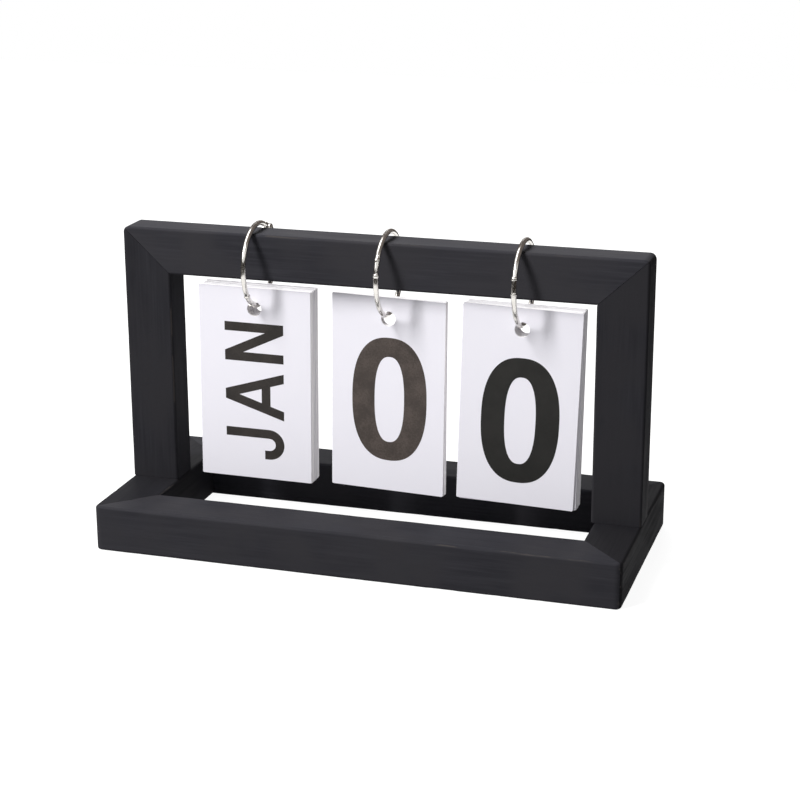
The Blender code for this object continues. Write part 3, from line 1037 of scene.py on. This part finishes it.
def build_cards():
    """Three stacks of cards, each card with its print."""
    shape = card_mesh()
    letters, digits = build_signs()
    chance = random.Random(scatter_seed)
    for stack in stacks:
        kind = stack["name"]
        ink = ink_material(f"{kind}_ink", stack["ink"], ink_seed + len(kind))
        for number, label in enumerate(stack["cards"]):
            name = f"{kind}_card_{label}"
            aside, drop = chance.uniform(-1, 1) * card_side_scatter, chance.uniform(-1, 0) * card_drop_scatter
            scatter = Matrix.Translation((aside, drop, 0)) if number else Matrix()
            place = card_matrix(stack, number) @ scatter
            mesh = shape.copy()
            mesh.transform(place)
            stock = card_material(f"{name}_stock", card_seed + number, place.translation)
            shade_evenly(add_piece(f"{name}_plate", mesh, stock, name, f"{kind}_cards", name))
            if kind == "month":
                print_shape = word_mesh(label.upper(), letters, stack["print_centre"])
            else:
                print_shape = digit_mesh(digits[label], stack["print_centre"])
            print_shape.transform(place)
            add_piece(f"{name}_print", print_shape, ink, name, f"{kind}_cards")


def build_screws():
    """The screws keep their solids and get a zinc finish."""
    for number, name in enumerate(("left_post_screw", "right_post_screw")):
        finish = metal_material(f"{name}_zinc", zinc, screw_seed + number)
        solid = frame["nodes"][name]
        for place in solid.material_slots:
            place.material = finish


def seen_share(nodes, links):
    """1 for rays from the camera, from gloss and through glass, and 0 for the rest."""
    path = nodes.new("ShaderNodeLightPath")
    share = path.outputs["Is Camera Ray"]
    for kind in ("Is Glossy Ray", "Is Transmission Ray"):
        share = add_math(nodes, links, "MAXIMUM", share, path.outputs[kind])
    return share


def build_floor():
    """A white floor that keeps a faint shadow, and bounces light as a pale floor does."""
    mesh = bpy.data.meshes.new("floor")
    solid = bmesh.new()
    bmesh.ops.create_grid(solid, x_segments=1, y_segments=1, size=floor_size / 2)
    solid.to_mesh(mesh)
    solid.free()
    floor = scratch("floor", mesh)
    floor.location = (0, 0, -weld_distance)
    material, nodes, links = bare_material("floor_white")
    seen = nodes.new("ShaderNodeBsdfDiffuse")
    seen.inputs["Color"].default_value = (floor_colour, floor_colour, floor_colour, 1)
    glow = nodes.new("ShaderNodeEmission")
    glow.inputs["Strength"].default_value = floor_glow
    both = nodes.new("ShaderNodeAddShader")
    links.new(seen.outputs["BSDF"], both.inputs[0])
    links.new(glow.outputs["Emission"], both.inputs[1])
    bounce = nodes.new("ShaderNodeBsdfDiffuse")
    bounce.inputs["Color"].default_value = (bounce_colour, bounce_colour, bounce_colour, 1)
    choice = nodes.new("ShaderNodeMixShader")
    links.new(seen_share(nodes, links), choice.inputs["Fac"])
    links.new(bounce.outputs["BSDF"], choice.inputs[1])
    links.new(both.outputs["Shader"], choice.inputs[2])
    links.new(choice.outputs["Shader"], nodes["Material Output"].inputs["Surface"])
    mesh.materials.append(material)


def add_flag(name, mesh, colour):
    """A sheet of an even colour that only gloss sees."""
    material, nodes, links = bare_material(name)
    tint = nodes.new("ShaderNodeEmission")
    tint.inputs["Color"].default_value = (*colour, 1)
    links.new(tint.outputs["Emission"], nodes["Material Output"].inputs["Surface"])
    mesh.materials.append(material)
    flag = scratch(name, mesh)
    flag.visible_camera = False
    flag.visible_diffuse = False
    flag.visible_transmission = False
    flag.visible_shadow = False


def grid_mesh(name, place, first, second):
    """A sheet over two ranges, each cut into steps, with its corners put in space by a function."""
    mesh = bpy.data.meshes.new(name)
    solid = bmesh.new()
    rows = []
    for row in range(flag_steps + 1):
        value = second[0] + (second[1] - second[0]) * row / flag_steps
        points = [first[0] + (first[1] - first[0]) * step / flag_steps for step in range(flag_steps + 1)]
        rows.append([solid.verts.new(place(point, value)) for point in points])
    for low, high in zip(rows, rows[1:]):
        for step in range(flag_steps):
            solid.faces.new((low[step], low[step + 1], high[step + 1], high[step]))
    bmesh.ops.remove_doubles(solid, verts=solid.verts, dist=weld_distance)
    solid.to_mesh(mesh)
    solid.free()
    return mesh


def dome_point(bearing, rise):
    """A point on the dome that the flags lie on."""
    bearing, rise = math.radians(bearing), math.radians(rise)
    level = flag_distance * math.cos(rise)
    height = studio_centre[2] + flag_distance * math.sin(rise)
    return level * math.sin(bearing), -level * math.cos(bearing), max(height, weld_distance)


def floor_point(bearing, distance):
    """A point just above the floor."""
    bearing = math.radians(bearing)
    return distance * math.sin(bearing), -distance * math.cos(bearing), weld_distance


def build_flags():
    """The dark flags round the object, and the one on the floor."""
    for name, (bearings, heights, colour) in flags.items():
        add_flag(name, grid_mesh(name, dome_point, bearings, heights), colour)
    around = grid_mesh("floor_flag", floor_point, (-180, 180), (floor_flag_inner, flag_distance))
    add_flag("floor_flag", around, floor_flag_colour)


def build_world():
    """White surroundings that show at full strength and light the object at a plain level."""
    world = bpy.data.worlds.new("studio")
    world.use_nodes = True
    bpy.context.scene.world = world
    nodes, links = world.node_tree.nodes, world.node_tree.links
    backdrop = nodes["Background"]
    backdrop.inputs["Color"].default_value = (1, 1, 1, 1)
    share = seen_share(nodes, links)
    links.new(add_range(nodes, links, share, 0, 1, surround_light, 1.0), backdrop.inputs["Strength"])


def build_lamps():
    """Large soft lamps."""
    for name, (place, size, power, colour) in lamps.items():
        lamp = bpy.data.lights.new(name, "AREA")
        lamp.shape = "RECTANGLE"
        lamp.size, lamp.size_y = size
        lamp.energy = power
        lamp.color = colour
        thing = scratch(name, lamp)
        thing.location = place
        thing.rotation_euler = (Vector(studio_centre) - Vector(place)).to_track_quat("-Z", "Y").to_euler()


def build_camera():
    """The camera, at the photograph's place."""
    camera = bpy.data.cameras.new("camera")
    camera.lens = camera_lens
    camera.sensor_width = camera_sensor
    camera.clip_start = camera_nearest
    thing = scratch("camera", camera)
    thing.location = camera_place
    thing.rotation_euler = [math.radians(angle) for angle in camera_turn]
    bpy.context.scene.camera = thing


build_camera()
build_world()
build_lamps()
build_floor()
build_flags()
build_base()
build_upright()
build_screws()
build_rings()
build_cards()

bpy.context.scene.view_settings.view_transform = "Standard"
bpy.context.view_layer.update()
